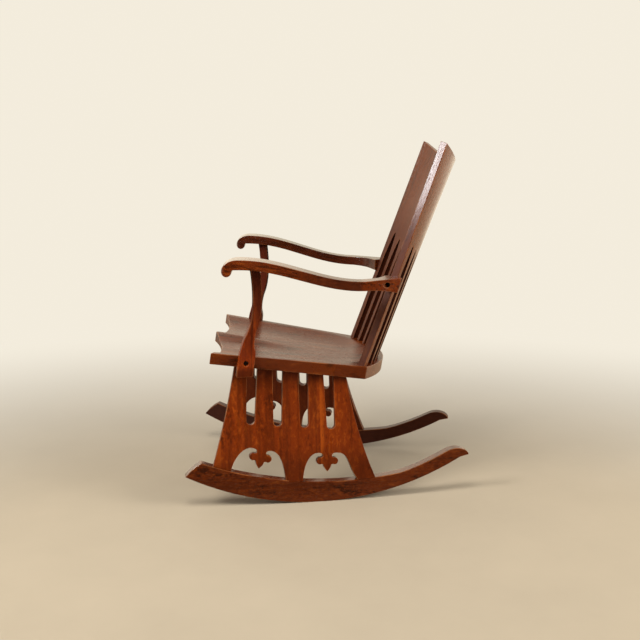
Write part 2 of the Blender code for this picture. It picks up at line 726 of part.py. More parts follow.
def add_arms_and_posts(seat):
    """Arms sawn to their side and plan outlines, and the posts under them."""
    back = parts.objects["back_panel"]
    on_edge = frame((0, 0, 0), (0, 1, 0), (0, 0, 1))
    reach = [(ARM_PEAK_Y + 0.01 * i, 0) for i in range(16)]
    under = [(y, arm_top(y) - ARM_THICK - JOINT_GAP) for y, _ in reach]
    trim = plate(under + [(under[-1][0], 0.9), (under[0][0], 0.9)], 1.0)
    trim = add_cutter("post_trim", trim, on_edge)
    for side in (1, -1):
        hand = name_of(side)
        beside = on_edge @ Matrix.Translation((0, 0, side * 0.26))
        arm = add_part(f"arm_{hand}", plate(arm_profile(), 0.5), beside)
        plan = [(side * x, y) for x, y in arm_plan()]
        above = Matrix.Translation((0, 0, ARM_REAR_TOP))
        cut(arm, add_cutter(f"arm_plan_{hand}", plate(plan, 0.4), above), "INTERSECT")
        cut(arm, cutters.objects["back_space"])

        outer = post_frame(side)
        middle = outer @ Matrix.Translation((0, 0, -side * POST_THICK / 2))
        post = add_part(f"arm_post_{hand}", plate(post_outline(), POST_THICK), middle)
        cut(post, trim)
        cut(post, cutters.objects["seat_envelope"])
        stand = Matrix.Rotation(math.radians(-90), 4, "X")
        place = middle @ Matrix.Translation((POST_DOWEL_U, post_top_v(POST_DOWEL_U), 0)) @ stand
        add_dowel(f"arm_dowel_{hand}", place, ARM_DOWEL, (post, arm))

        outward = outer.to_3x3().col[2] * side
        outward.z = 0
        spot = outer @ Vector((POST_SCREW_U, 0, 0))
        s = (seat_frame().inverted() @ spot).y
        thick = SEAT_FRONT_THICK + (SEAT_REAR_THICK - SEAT_FRONT_THICK) * s / SEAT_SIDE
        spot.z = (seat_frame() @ Vector((0, s, thick / 2))).z
        spot -= outward.normalized() * POST_SCREW_SINK
        spot = along(spot, outward)
        add_screw(f"post_screw_{hand}", spot, POST_SCREW_LENGTH, POST_SCREW_SINK, (post, seat))

        corner = back_corner()
        edge_x, edge_y = corner.x + ARM_SCREW_EDGE[0], corner.y + ARM_SCREW_EDGE[1]
        edge = Vector((side * edge_x, edge_y, ARM_REAR_TOP - ARM_SCREW_DROP))
        outward = Vector((side * math.cos(ARM_SCREW_TURN), -math.sin(ARM_SCREW_TURN), 0))
        spot = along(edge + outward * (ARM_SCREW_LENGTH - ARM_SCREW_HOLD), outward)
        add_screw(f"arm_screw_{hand}", spot, ARM_SCREW_LENGTH, ARM_SCREW_SINK, (arm, back))


def build():
    """The whole chair, standing on its rockers and facing -Y."""
    global parts, cutters
    for thing in list(bpy.data.objects):
        bpy.data.objects.remove(thing)
    parts = bpy.data.collections.new("mission_rocking_chair")
    cutters = bpy.data.collections.new("cutters")
    bpy.context.scene.collection.children.link(parts)
    bpy.context.scene.collection.children.link(cutters)
    add_rockers()
    seat = add_seat()
    add_panels(seat)
    add_back(seat)
    add_arms_and_posts(seat)


build()
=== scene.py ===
"""Looks of the mission rocking chair: eased and saddled boards of dark stained oak on a plain stage."""

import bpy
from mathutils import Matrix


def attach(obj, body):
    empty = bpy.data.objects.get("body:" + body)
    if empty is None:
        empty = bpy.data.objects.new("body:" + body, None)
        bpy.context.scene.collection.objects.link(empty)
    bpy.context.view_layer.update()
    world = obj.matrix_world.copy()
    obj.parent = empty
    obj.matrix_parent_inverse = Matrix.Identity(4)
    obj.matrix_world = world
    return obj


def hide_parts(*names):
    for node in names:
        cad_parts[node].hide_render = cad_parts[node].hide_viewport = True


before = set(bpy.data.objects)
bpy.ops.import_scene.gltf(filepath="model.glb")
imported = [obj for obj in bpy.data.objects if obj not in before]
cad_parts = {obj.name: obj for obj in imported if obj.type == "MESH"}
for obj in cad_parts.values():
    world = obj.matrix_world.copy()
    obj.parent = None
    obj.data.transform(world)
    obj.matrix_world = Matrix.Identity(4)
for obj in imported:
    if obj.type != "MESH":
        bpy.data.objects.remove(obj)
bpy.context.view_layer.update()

import math

import bmesh
import bpy
from bpy.props import FloatProperty, FloatVectorProperty, IntProperty, PointerProperty
from bpy.types import Operator, Panel, PropertyGroup
from mathutils import Matrix, Vector
from mathutils.bvhtree import BVHTree

bl_info = {
    "name": "Mission Rocking Chair",
    "version": (1, 0, 0),
    "blender": (4, 5, 0),
    "location": "View3D > Sidebar > Rocking Chair",
    "description": "Dresses the packed chair in eased, stained oak and sets a plain stage",
    "category": "Object",
}

HANDS = ("left", "right")

# Copies of CAD boards: how near points merge, the shortest edge, and the turn under which faces join
MERGE_REACH = 0.00002
SHORTEST_EDGE = 0.0001
FLAT_TURN = math.radians(0.8)
# How near a neighbour an edge lies when it is part of a joint
JOINT_REACH = 0.0007
# How near a cut a point lies that counts as on it
CUT_REACH = 0.000001
# Turns sharper than this are edges of a board, which are eased
EDGE_TURN = math.radians(32)
# Turns sharper than this show as creases; the arms show shallower ones
SHADE_TURN = math.radians(42)
ARM_SHADE_TURN = math.radians(14)
# How far large faces rule the shading at a point, where 50 is even
FLAT_WEIGHT = 60
# Rise of the normal from which a face looks up
UPWARD = 0.6
# Way through the tree from one board's grain to the next one's
TREE_STEP = Vector((0.731, 0.417, 0.293))

# Seat: frame of its underside, then sizes in the plane of the board
SEAT_ORIGIN = Vector((0, -0.3188, 0.3914))
SEAT_TILT = math.radians(8.475)
SEAT_FRONT_HALF = 0.2751
SEAT_REAR_HALF = 0.1968
SEAT_SIDE = 0.4173
SEAT_BOW = 0.0605
SEAT_CUSP = 0.009
SEAT_SCALLOP = 0.0245
SEAT_FRONT_THICK = 0.030
SEAT_REAR_THICK = 0.035
SEAT_CELLS = (104, 84)
# Dish of the seat: rim at the sides, rear end and its bow, roundness of its corners, run of its slope and
# lip, and half width and length of the ridge in front
DISH_SIDE_RIM = 0.020
DISH_REAR = 0.440
DISH_REAR_BOW = 0.052
DISH_CORNER = 0.090
DISH_SLOPE = 0.085
DISH_LIP = 0.004
RIDGE_HALF = 0.040
RIDGE_END = 0.303

# Back: a board bent about its height, BACK_S along the seat; pairs are at its foot and at its top
BACK_S = 0.393
BACK_LEAN = math.radians(19.4)
BACK_THICK = 0.020
BACK_HEIGHT = 0.601
BACK_TOP_DIP = 0.029
BACK_HALVES = (0.181, 0.167)
BACK_RADII = (0.365, 0.271)
BACK_TENON = 0.012
# Its slots: pitch as a share of the half width, width, height of the tips in the middle, and how much
# higher they would be at the sides
BACK_SLOTS = 10
BACK_SLOT_PITCH = 0.189
BACK_SLOT_WIDTH = 0.026
BACK_SLOT_TOP = 0.323
BACK_SLOT_FAN = 0.038
# Half width of a slot as a share of the widest, at distances below its tip
SLOT_TAPER = ((0.380, 0.92), (0.075, 0.85), (0.040, 0.62), (0.018, 0.43), (0.006, 0.27))
# Its half width laid flat, the strips and rows that it is cut into to bend, and steps along its top
BACK_FLAT_HALF = 0.195
BACK_BENDS = 64
BACK_ROWS = 8
BACK_TOP_STEPS = 48
# Slot walls: inside this share of the half width, with normals that lie at least so far along the board
SLOT_WALLS_INSIDE = 0.98
SLOT_WALL_TURN = 0.7

# Arms: fall of the grain toward the rear
ARM_GRAIN = math.radians(9)

# Finish of each kind of board: width of its staves and of its dark streaks, tint of the stain, strength of
# clouds, streaks, ray flecks, rings, pale seams and edge wear, then roughness, shine and coat of the
# varnish, and how much painted light its rear-facing faces show
BOARDS = {
    "seat_oak": dict(
        stave=0.105, streak=0.030, tint=(0.57, 0.56, 0.27), clouds=1.5, streaks=0.25, mottle=0.25,
        rings=0.45, seam=0.10, wear=0.5, rough=0.27, shine=0.58, coat=0.0, bare=0.3),
    "back_oak": dict(
        stave=0.130, streak=0.020, tint=(0.64, 0.74, 0.44), clouds=0.9, streaks=0.35, mottle=0.4,
        rings=0.40, seam=0.05, wear=0.5, rough=0.26, shine=0.45, coat=0.15, bare=0.0),
    "side_oak": dict(
        stave=0.300, streak=0.016, tint=(0.84, 0.73, 0.37), clouds=1.3, streaks=0.45, mottle=1.1,
        rings=0.14, seam=0.70, wear=0.6, rough=0.30, shine=0.20, coat=0.0, bare=0.0),
    "rocker_oak": dict(
        stave=0.900, streak=0.012, tint=(0.52, 0.52, 0.36), clouds=0.9, streaks=0.45, mottle=1.2,
        rings=0.16, seam=0.0, wear=0.5, rough=0.22, shine=0.40, coat=0.60, bare=0.0),
    "arm_oak": dict(
        stave=0.900, streak=0.0055, tint=(0.62, 0.58, 0.40), clouds=1.5, streaks=0.85, mottle=0.6,
        rings=0.40, seam=0.0, wear=0.4, rough=0.19, shine=0.58, coat=0.52, bare=0.0),
    "post_oak": dict(
        stave=0.900, streak=0.0070, tint=(0.88, 0.64, 0.26), clouds=1.6, streaks=0.80, mottle=0.6,
        rings=0.40, seam=0.0, wear=0.3, rough=0.32, shine=0.20, coat=0.0, bare=0.0),
}
# Stretches painted darker with the dark stain, mostly painted shade: axis, where each begins and is full,
# where it is still full and ends, how much of the stain it shows, how much of its varnish is worn dull,
# and which faces it is on
SHADED = {
    # Side panels: painted shade and deeper stain toward the feet, painted seat shadow on the finger tops,
    # darker rearward
    "side_oak": (("Z", (0.17, 0.09), (0.0, -0.1), 0.55, 0.0, "all"),
                 ("Z", (0.29, 0.345), (0.9, 1.0), 0.50, 0.0, "all"),
                 ("Y", (0.00, 0.10), (0.9, 1.0), 0.22, 0.0, "all")),
    # Near arm: painted shade before its rear bend, and its varnish a little dull there
    "arm_oak": (("Y", (-0.17, 0.0), (0.072, 0.084), 0.60, 0.15, "left"),),
    # Posts: painted shade below the seat's edge
    "post_oak": (("Z", (0.390, 0.368), (-0.2, -0.3), 0.80, 0.0, "all"),),
    # Back: painted shade on the lower front and edge faces, with dull varnish
    "back_oak": (("Z", (0.82, 0.68), (-0.2, -0.3), 0.30, 0.5, "front"),),
}
# Painted shade on the right-hand boards, the far side: their shares of dark stain
FAR_SIDE_SHADE = {"left": 0.0, "right": 0.55}
FAR_RUNNER_SHADE = {"left": 0.0, "right": 0.85}
FAR_RUNNER_TOP_SHADE = {"left": 0.0, "right": 0.65}
FAR_ARM_SHADE = {"left": 0.0, "right": 0.56}
# Painted shade under the arms at the top of the posts: its share of dark stain, and the heights between
# which it sets in
POST_TOP_SHADE = {"left": 0.90, "right": 0.75}
POST_FADE = (0.45, 0.53)
# On the left: places across the chair between which a stretch sets in
LEFT_BAND = (-0.05, 0.05)
# How far a face looks to the rear where a stretch on the front ends, and where the painted light on rear
# faces begins
FRONT_FACING = (0.3, 0.0)
REAR_FACING = (0.35, 0.75)
# Shares of painted shade between which the varnish turns dull, and its roughness there
DULL_UNDER_SHADE = (0.5, 0.8)
DULL_ROUGH = 0.9
# Side panels: where one seam shows, along the panel, and how many staves of the tree lie before it
SIDE_SEAM = -0.062
SIDE_STAVES = 8
# Side panels: rear edge of the lighter band at the front, along the panel, half its blur and how much
# lighter it is
FRONT_BAND_EDGE = -0.331
FRONT_BAND_BLUR = 0.0015
FRONT_BAND_LIGHT = 0.45
# Relief of the grain: its height and strength
GRAIN_HEIGHT = 0.0006
GRAIN_STRENGTH = 0.35

# Camera at the photograph's viewing angle
CAMERA_PLACE = (2.6062, -0.0897, 0.9656)
CAMERA_PITCH = 0.1934
CAMERA_YAW = 0.0252
CAMERA_ROLL = -0.0054

# Floor: radius and sides of its disc, middle of its lit part, distances over which that runs out into the
# background and, in reflections, into the studio, and the tone of its darker clouds
FLOOR_RADIUS = 14
FLOOR_SIDES = 96
FLOOR_CENTRE = (0.9, 0, 0)
FLOOR_RUN_OUT = (0.9, 3.0)
FLOOR_TO_STUDIO = (2.5, 6.5)
FLOOR_CLOUD = 0.86
# Where the floor in reflections dims toward the camera and brightens behind the chair
FLOOR_DIMS = (-0.8, 0.8)
FLOOR_BEHIND = (0.2, 1.0)
# Directions between which the studio in reflections dims toward the camera and brightens to the front
STUDIO_DIMS = (-0.25, 0.55)
STUDIO_FRONT = (0.10, -0.06)

# Lamps: place, size and whether reflections show it, then the point that they are aimed at
LAMPS = {
    "window": ((1.20, -1.90, 1.84), 0.64, True),
    "key": ((1.15, -0.35, 2.35), 0.8, False),
    "right_fill": ((1.2, 2.4, 1.5), 1.4, False),
    "far_fill": ((-2.4, -0.6, 2.4), 2.4, False),
}
LAMP_AIM = Vector((0, 0, 0.45))

WHITE = (1.0, 1.0, 1.0, 1.0)


def settings():
    """The settings of the chair's looks."""
    return bpy.context.scene.rocking_chair


def opaque(colour, share=1.0):
    """A colour, or a share of it, with full alpha."""
    return (*(part * share for part in colour), 1.0)


# Node helpers
def put(tree, kind, inputs=None, **settings_of_node):
    """A node with its inputs set to values or joined to other nodes' outputs."""
    node = tree.nodes.new(kind)
    for key, value in settings_of_node.items():
        setattr(node, key, value)
    for key, value in (inputs or {}).items():
        if isinstance(value, bpy.types.NodeSocket):
            tree.links.new(value, node.inputs[key])
        else:
            node.inputs[key].default_value = value
    return node


def maths(tree, operation, *values):
    """One Math node's result."""
    return put(tree, "ShaderNodeMath", dict(enumerate(values)), operation=operation).outputs[0]


def vectors(tree, operation, *values):
    """One Vector Math node's result."""
    return put(tree, "ShaderNodeVectorMath", dict(enumerate(values)), operation=operation).outputs[0]


def split_axes(tree, vector):
    """The X, Y and Z of a vector."""
    return put(tree, "ShaderNodeSeparateXYZ", {"Vector": vector}).outputs


def attribute(tree, name, output):
    """A value that a piece's mesh stores for its finish."""
    return put(tree, "ShaderNodeAttribute", attribute_name=name).outputs[output]


def own_place(tree):
    """A point's place on the chair."""
    return put(tree, "ShaderNodeTexCoord").outputs["Object"]


def to_rear(tree):
    """How far a face looks to the rear."""
    return split_axes(tree, put(tree, "ShaderNodeNewGeometry").outputs["Normal"])["Y"]


def remap(tree, value, low, high, to_low=0.0, to_high=1.0):
    """A value eased from one range to another."""
    inputs = {"Value": value, "From Min": low, "From Max": high, "To Min": to_low, "To Max": to_high}
    return put(tree, "ShaderNodeMapRange", inputs, interpolation_type="SMOOTHSTEP").outputs["Result"]


def blend_colours(tree, factor, first, second, blend="MIX"):
    """Two colours mixed by a factor."""
    node = put(tree, "ShaderNodeMix", data_type="RGBA", blend_type=blend)
    for socket, value in ((node.inputs[0], factor), (node.inputs[6], first), (node.inputs[7], second)):
        if isinstance(value, bpy.types.NodeSocket):
            tree.links.new(value, socket)
        else:
            socket.default_value = value
    return node.outputs[2]


def noise(tree, vector, scale, detail=2.0, roughness=0.5, distortion=0.0):
    """Value of a noise in the given coordinates."""
    inputs = {
        "Vector": vector, "Scale": scale, "Detail": detail,
        "Roughness": roughness, "Distortion": distortion,
    }
    return put(tree, "ShaderNodeTexNoise", inputs).outputs["Fac"]


def new_group(name, inputs, outputs):
    """An empty shader group with its sockets, its input node and its output node."""
    tree = bpy.data.node_groups.new(name, "ShaderNodeTree")
    for label, kind, default in inputs:
        socket = tree.interface.new_socket(label, in_out="INPUT", socket_type=kind)
        if default is not None:
            socket.default_value = default
    for label, kind in outputs:
        tree.interface.new_socket(label, in_out="OUTPUT", socket_type=kind)
    return tree, tree.nodes.new("NodeGroupInput").outputs, tree.nodes.new("NodeGroupOutput").inputs


# Wood
def stained_oak_group():
    """Colour, roughness and height of stained oak in a board's own coordinates: along, across, deep."""
    name = "stained oak"
    if name in bpy.data.node_groups:
        return bpy.data.node_groups[name]
    tree, given, result = new_group(name, (
        ("Board", "NodeSocketVector", None),
        ("Dark", "NodeSocketColor", WHITE),
        ("Middle", "NodeSocketColor", WHITE),
        ("Light", "NodeSocketColor", WHITE),
        ("Stave Width", "NodeSocketFloat", 0.1),
        ("Streak Width", "NodeSocketFloat", 0.01),
        ("Ring Width", "NodeSocketFloat", 0.006),
        ("Clouds", "NodeSocketFloat", 1.0),
        ("Streaks", "NodeSocketFloat", 0.5),
        ("Rings", "NodeSocketFloat", 0.3),
        ("Mottle", "NodeSocketFloat", 1.0),
        ("Seam", "NodeSocketFloat", 0.0),
        ("Gloss", "NodeSocketFloat", 0.3),
    ), (("Color", "NodeSocketColor"), ("Roughness", "NodeSocketFloat"), ("Height", "NodeSocketFloat")))
    board = given["Board"]
    apart = split_axes(tree, board)

    def centred(value):
        return maths(tree, "SUBTRACT", value, 0.5)

    def stretched(along, across):
        return vectors(tree, "MULTIPLY", place, (along, across, across))

    # Glued staves, each from another part of the tree
    stave = maths(tree, "FLOOR", maths(tree, "DIVIDE", apart["Y"], given["Stave Width"]))
    pick = put(tree, "ShaderNodeTexWhiteNoise", {"W": stave}, noise_dimensions="1D").outputs
    place = vectors(tree, "ADD", board, vectors(tree, "MULTIPLY", pick["Color"], (3.0, 3.0, 3.0)))

    # Stain taken up unevenly in soft clouds
    cloud = noise(tree, stretched(9.0, 24.0), 1.0, 3.0, 0.55, 0.5)

    # Dark streaks of late wood
    long = vectors(tree, "MULTIPLY", place, (0.035, 1.0, 1.0))
    thin = noise(tree, long, maths(tree, "DIVIDE", 1.0, given["Streak Width"]), 2.0, 0.5, 0.4)
    streaks = maths(tree, "MULTIPLY", remap(tree, thin, 0.48, 0.70), given["Streaks"])

    # Growth rings, wavering along the grain
    waver = noise(tree, stretched(3.5, 11.0), 1.0, 2.0)
    moved = split_axes(tree, place)
    ring = maths(tree, "MULTIPLY_ADD", moved["Z"], 0.6, moved["Y"])
    ring = maths(tree, "MULTIPLY_ADD", waver, 0.040, ring)
    ring = maths(tree, "DIVIDE", ring, given["Ring Width"])
    rings = put(tree, "ShaderNodeTexNoise", {"W": ring, "Scale": 1.0, "Detail": 2.0, "Roughness": 0.6},
                noise_dimensions="1D").outputs["Fac"]

    # Ray flecks, short flames that lie nearly along the grain
    slant = {"Vector": place, "Rotation": (0, 0, 0.16), "Scale": (62, 118, 95)}
    slanted = put(tree, "ShaderNodeMapping", slant).outputs["Vector"]
    flame = noise(tree, slanted, 1.0, 3.0, 0.65, 0.5)
    flecks = remap(tree, flame, 0.48, 0.70)

    # Pale sapwood on one side of each seam
    past = maths(tree, "FLOORED_MODULO", apart["Y"], given["Stave Width"])
    uneven = maths(tree, "MULTIPLY_ADD", noise(tree, stretched(13, 2), 1.0, 2.0), 0.034, -0.005)
    seam = maths(tree, "MULTIPLY", remap(tree, past, uneven, 0.001), given["Seam"])

    # Dark specks, and open pores as thin dashes along the grain
    specks = remap(tree, noise(tree, stretched(110, 330), 1.0, 2.0, 0.6), 0.60, 0.72)
    pores = remap(tree, noise(tree, stretched(85, 1900), 1.0, 1.0), 0.57, 0.70)

    # Tone from dark to light, then the stain's colours by it
    tone = maths(tree, "MULTIPLY_ADD", centred(cloud), given["Clouds"], 0.5)
    tone = maths(tree, "MULTIPLY_ADD", centred(rings), given["Rings"], tone)
    tone = maths(tree, "MULTIPLY_ADD", centred(flame), maths(tree, "MULTIPLY", given["Mottle"], 0.7), tone)
    tone = maths(tree, "MULTIPLY_ADD", centred(pick["Value"]), 0.16, tone)
    dark_share = maths(tree, "MULTIPLY", remap(tree, tone, 0.46, 0.18), 0.85)
    light_share = maths(tree, "MULTIPLY", remap(tree, tone, 0.56, 0.92), 0.70)
    colour = blend_colours(tree, dark_share, given["Middle"], given["Dark"])
    colour = blend_colours(tree, light_share, colour, given["Light"])
    fleck_share = maths(tree, "MULTIPLY", maths(tree, "MULTIPLY", flecks, given["Mottle"]), 0.34)
    colour = blend_colours(tree, fleck_share, colour, given["Light"])
    colour = blend_colours(tree, streaks, colour, given["Dark"])
    colour = blend_colours(tree, seam, colour, given["Light"])
    colour = blend_colours(tree, maths(tree, "MULTIPLY", specks, 0.55), colour, given["Dark"])
    colour = blend_colours(tree, maths(tree, "MULTIPLY", pores, 0.35), colour, given["Dark"])
    tree.links.new(colour, result["Color"])

    # Varnish smeared unevenly and open over the pores
    smears = noise(tree, stretched(9, 15), 1.0, 3.0)
    rough = maths(tree, "MULTIPLY_ADD", centred(smears), 0.20, given["Gloss"])
    tree.links.new(maths(tree, "MULTIPLY_ADD", pores, 0.10, rough), result["Roughness"])

    height = maths(tree, "MULTIPLY", rings, 0.25)
    height = maths(tree, "MULTIPLY_ADD", pores, -0.55, height)
    tree.links.new(maths(tree, "MULTIPLY_ADD", cloud, 0.5, height), result["Height"])
    return tree


def edge_wear_group():
    """Where handling has thinned the stain on the eased edges."""
    name = "edge wear"
    if name in bpy.data.node_groups:
        return bpy.data.node_groups[name]
    tree, given, result = new_group(name, (
        ("Place", "NodeSocketVector", None),
        ("Eased", "NodeSocketFloat", 0.0),
        ("Wear", "NodeSocketFloat", 0.5),
    ), (("Worn", "NodeSocketFloat"),))
    rubbed = remap(tree, noise(tree, given["Place"], 21.0, 3.0, 0.6), 0.38, 0.66)
    share = maths(tree, "MULTIPLY", maths(tree, "MULTIPLY", rubbed, given["Eased"]), given["Wear"])
    tree.links.new(share, result["Worn"])
    return tree


def new_material(name):
    """A node material with an emptied tree, its Principled shader and that shader joined to the output."""
    material = bpy.data.materials.new(name)
    material.use_nodes = True
    tree = material.node_tree
    tree.nodes.clear()
    shader = tree.nodes.new("ShaderNodeBsdfPrincipled")
    put(tree, "ShaderNodeOutputMaterial", {"Surface": shader.outputs["BSDF"]})
    return material, tree, shader


def board_stain(colour, kind):
    """A colour of the stain in one kind of board's tint."""
    return (*(part * share for part, share in zip(colour, kind["tint"])), 1.0)


def place_oak(tree, board, kind):
    """The stained oak group with one kind of board's values."""
    finish = settings().finish
    given = {
        "Board": board,
        "Dark": board_stain(finish.stain_dark, kind), "Middle": board_stain(finish.stain_middle, kind),
        "Light": board_stain(finish.stain_light, kind), "Ring Width": finish.ring_width,
        "Stave Width": kind["stave"], "Streak Width": kind["streak"], "Clouds": kind["clouds"],
        "Streaks": kind["streaks"], "Rings": kind["rings"], "Mottle": kind["mottle"], "Seam": kind["seam"],
        "Gloss": kind["rough"],
    }
    return put(tree, "ShaderNodeGroup", given, node_tree=stained_oak_group()).outputs


def side_start():
    """Place of the side panels across the tree, so that one seam falls where it shows."""
    return SIDE_STAVES * BOARDS["side_oak"]["stave"] - SIDE_SEAM


def lighten_front_band(tree, board, colour):
    """The side panels' colour, lighter in a band at the front."""
    across = split_axes(tree, board)["Y"]
    edge = side_start() + FRONT_BAND_EDGE
    front = remap(tree, across, edge + FRONT_BAND_BLUR, edge - FRONT_BAND_BLUR, 0.0, FRONT_BAND_LIGHT)
    light = board_stain(settings().finish.stain_light, BOARDS["side_oak"])
    return blend_colours(tree, front, colour, light)


def shade_stretches(tree, name, colour, dull):
    """A board's colour and dullness with its stretches painted darker, mostly painted shade."""
    dark = board_stain(settings().finish.stain_dark, BOARDS[name])
    for axis, start, end, stained, dulled, faces in SHADED.get(name, ()):
        place = split_axes(tree, own_place(tree))
        begun = remap(tree, place[axis], *start)
        shaded = maths(tree, "MULTIPLY", begun, remap(tree, place[axis], *reversed(end)))
        if faces == "left":
            shaded = maths(tree, "MULTIPLY", shaded, remap(tree, place["X"], *LEFT_BAND))
        if faces == "front":
            shaded = maths(tree, "MULTIPLY", shaded, remap(tree, to_rear(tree), *FRONT_FACING))
        colour = blend_colours(tree, maths(tree, "MULTIPLY", shaded, stained), colour, dark)
        if dulled:
            dull = maths(tree, "MAXIMUM", dull, maths(tree, "MULTIPLY", shaded, dulled))
    return colour, dull


def oak_material(name):
    """Stained and varnished oak for one kind of board."""
    finish = settings().finish
    kind = BOARDS[name]
    material, tree, shader = new_material(name)
    board = attribute(tree, "board", "Vector")
    oak = place_oak(tree, board, kind)

    # Painted shade on the far side's boards and the posts' tops, with the varnish dull where it is strong
    darkened = attribute(tree, "darkened", "Fac")
    colour = blend_colours(tree, darkened, oak["Color"], board_stain(finish.stain_dark, kind))
    dull = remap(tree, darkened, *DULL_UNDER_SHADE)
    if name == "side_oak":
        colour = lighten_front_band(tree, board, colour)
    colour, dull = shade_stretches(tree, name, colour, dull)
    # Painted light: rear-facing faces paler, in place of the light that falls on the seat's rear edge
    if kind["bare"]:
        bare = remap(tree, to_rear(tree), *REAR_FACING, 0.0, kind["bare"])
        colour = blend_colours(tree, bare, colour, opaque(finish.rear_light_colour))
    wear = {"Place": board, "Eased": attribute(tree, "eased", "Fac"), "Wear": kind["wear"]}
    worn = put(tree, "ShaderNodeGroup", wear, node_tree=edge_wear_group()).outputs["Worn"]
    colour = blend_colours(tree, worn, colour, opaque(finish.worn_edge))

    tree.links.new(colour, shader.inputs["Base Color"])
    rough = put(tree, "ShaderNodeMix", {0: dull, 2: oak["Roughness"], 3: DULL_ROUGH}).outputs[0]
    tree.links.new(rough, shader.inputs["Roughness"])
    grain = {"Height": oak["Height"], "Strength": GRAIN_STRENGTH, "Distance": GRAIN_HEIGHT}
    tree.links.new(put(tree, "ShaderNodeBump", grain).outputs["Normal"], shader.inputs["Normal"])
    shader.inputs["Specular IOR Level"].default_value = kind["shine"]
    if kind["coat"]:
        coat = put(tree, "ShaderNodeMix", {0: dull, 2: kind["coat"], 3: 0.0}).outputs[0]
        tree.links.new(coat, shader.inputs["Coat Weight"])
        shader.inputs["Coat Roughness"].default_value = kind["rough"] / 2
    return material


def slot_shade_material():
    """Painted shade in the slots: dull, nearly black wood on their sawn walls."""
    finish = settings().finish
    material, tree, shader = new_material("sawn_oak")
    board = attribute(tree, "board", "Vector")
    saw = noise(tree, vectors(tree, "MULTIPLY", board, (60, 400, 30)), 1.0, 3.0, 0.6)
    deep = opaque(finish.stain_dark, 0.25)
    thin = opaque(finish.stain_dark, 0.80)
    tree.links.new(blend_colours(tree, saw, deep, thin), shader.inputs["Base Color"])
    tree.links.new(remap(tree, saw, 0.2, 0.8, 0.80, 0.95), shader.inputs["Roughness"])
    shader.inputs["Specular IOR Level"].default_value = 0.12
    return material


def dowel_material():
    """Plain turned oak pins, hidden in the joints."""
    finish = settings().finish
    material, tree, shader = new_material("dowel_oak")
    streak = noise(tree, vectors(tree, "MULTIPLY", own_place(tree), (420, 420, 30)), 1.0, 2.0)
    pale = opaque(finish.dowel_colour)
    brown = opaque(finish.dowel_colour, 0.55)
    tree.links.new(blend_colours(tree, streak, brown, pale), shader.inputs["Base Color"])
    tree.links.new(remap(tree, streak, 0.2, 0.8, 0.6, 0.8), shader.inputs["Roughness"])
    return material


def screw_material():
    """Old slotted steel screws, browned in their holes."""
    finish = settings().finish
    material, tree, shader = new_material("browned_steel")
    rust = remap(tree, noise(tree, own_place(tree), 900.0, 3.0, 0.6), 0.42, 0.62)
    steel = opaque(finish.screw_colour)
    brown = opaque(finish.rust_colour)
    tree.links.new(blend_colours(tree, rust, steel, brown), shader.inputs["Base Color"])
    tree.links.new(remap(tree, rust, 0.0, 1.0, 0.38, 0.75), shader.inputs["Roughness"])
    tree.links.new(remap(tree, rust, 0.0, 1.0, 0.95, 0.15), shader.inputs["Metallic"])
    return material


# Mesh helpers
def cad_board(node):
    """A merged copy of a CAD node's mesh, its flat faces joined."""
    shape = bmesh.new()
    shape.from_mesh(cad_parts[node].data)
    bmesh.ops.remove_doubles(shape, verts=shape.verts, dist=MERGE_REACH)
    bmesh.ops.dissolve_limit(shape, angle_limit=FLAT_TURN, verts=shape.verts, edges=shape.edges)
    bmesh.ops.dissolve_degenerate(shape, dist=SHORTEST_EDGE, edges=shape.edges)
    return shape


def other_nodes(*nodes):
    """A search tree of every CAD node but the named ones."""
    points, faces = [], []
    for name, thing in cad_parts.items():
        if name not in nodes:
            start = len(points)
            points += [vert.co for vert in thing.data.vertices]
            faces += [[start + i for i in face.vertices] for face in thing.data.polygons]
    return BVHTree.FromPolygons(points, faces)


def ease(shape, width, neighbours=None):
    """Rounds the edges of a board, but not where it meets a neighbour, and marks the rounded faces."""
    mark = shape.faces.layers.float.new("eased")
    edges = []
    for edge in shape.edges:
        if len(edge.link_faces) != 2 or edge.calc_face_angle(0) < EDGE_TURN:
            continue
        middle = (edge.verts[0].co + edge.verts[1].co) / 2
        if neighbours and neighbours.find_nearest(middle, JOINT_REACH)[0] is not None:
            continue
        edges.append(edge)
    rounded = bmesh.ops.bevel(
        shape, geom=edges, offset=width, offset_type="OFFSET", affect="EDGES",
        segments=settings().edges.segments, profile=0.5, material=-1, clamp_overlap=False)
    for face in rounded["faces"]:
        face[mark] = 1.0


def mark_slots(shape, along, half):
    """Gives the painted slot shade to the walls of slots, sawn along the board, inside the given half
    width.
    """
    for face in shape.faces:
        inside = abs(face.calc_center_median().dot(along)) < half
        sawn = abs(face.normal.dot(along)) > SLOT_WALL_TURN
        face.material_index = 1 if inside and sawn else 0


def paint_board_shade(shape, amount, upward=0.0):
    """Marks how much painted shade a board's faces take; those that look up have their own amount."""
    mark = shape.faces.layers.float.new("darkened")
    for face in shape.faces:
        face[mark] = amount if face.normal.z < UPWARD else upward


def eased_step(value):
    """Smooth rise from 0 to 1."""
    value = min(max(value, 0), 1)
    return value * value * (3 - 2 * value)


def paint_post_shade(shape, low_amount, high_amount, fade):
    """Marks how much painted shade a post takes, from its foot to its top."""
    mark = shape.verts.layers.float.new("darkened")
    for vert in shape.verts:
        share = eased_step((vert.co.z - fade[0]) / (fade[1] - fade[0]))
        vert[mark] = low_amount + (high_amount - low_amount) * share


def board_axes(shape):
    """Run toward the rear, rise and normal of a side's flat board, from its largest face."""
    normal = max(shape.faces, key=lambda face: face.calc_area()).normal.copy()
    if normal.x < 0:
        normal.negate()
    run = Vector((0, 0, 1)).cross(normal).normalized()
    return run, normal.cross(run), normal


def lay_grain(shape, along, across, deep, start):
    """Stores each point's place along, across and deep in the board, for the wood's pattern."""
    layer = shape.verts.layers.float_vector.new("board")
    for vert in shape.verts:
        vert[layer] = Vector((vert.co.dot(along), vert.co.dot(across), vert.co.dot(deep))) + start


